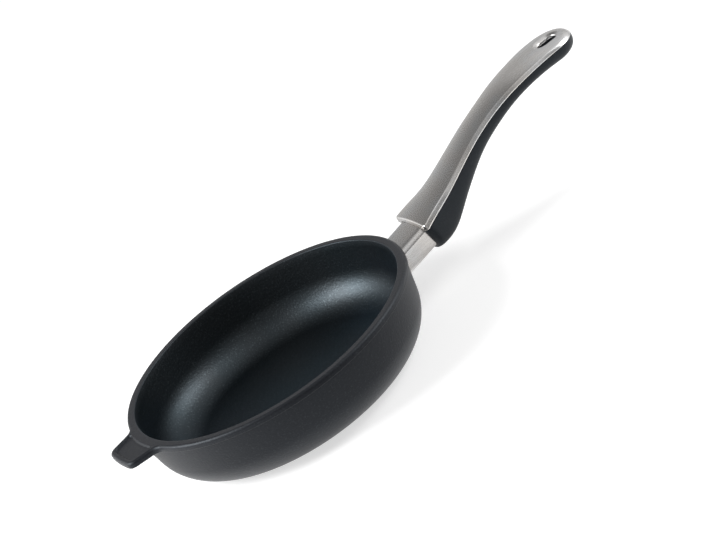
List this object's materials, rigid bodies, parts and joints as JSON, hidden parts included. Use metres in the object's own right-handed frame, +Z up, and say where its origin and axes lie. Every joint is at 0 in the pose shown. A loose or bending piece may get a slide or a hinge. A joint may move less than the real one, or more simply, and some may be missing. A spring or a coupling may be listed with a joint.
{
  "type": "omelette pan",
  "caption": "Deep round frying pan with a rounded foot, a flat helper tab and a long steel-topped handle that curves upwards to a hanging hole.",
  "frame": {"origin": "centre of the underside of the pan's base, where it stands on the hob", "axes": "+X out along the handle, +Z up, +Y to the left of the handle when seen from above with the handle pointing away from the viewer"},
  "size_m": [0.3909, 0.2, 0.081],
  "materials": {
    "nonstick_aluminium": "cast aluminium under a dark satin non-stick coating",
    "satin_steel": "satin stainless steel, finely brushed along its length",
    "black_phenolic": "moulded phenolic resin, matt black with a fine grain",
    "fastener_steel": "plain stainless steel"
  },
  "bodies": {
    "root": {"pan_body": "nonstick_aluminium", "lug_insert": "fastener_steel", "neck_sleeve": "satin_steel", "grip": "black_phenolic", "top_shell": "satin_steel", "tie_screw": "fastener_steel", "screw_washer": "fastener_steel", "lock_washer": "fastener_steel", "shell_studs": "fastener_steel", "shell_washers": "fastener_steel", "shell_nuts": "fastener_steel"}
  },
  "joints": []
}
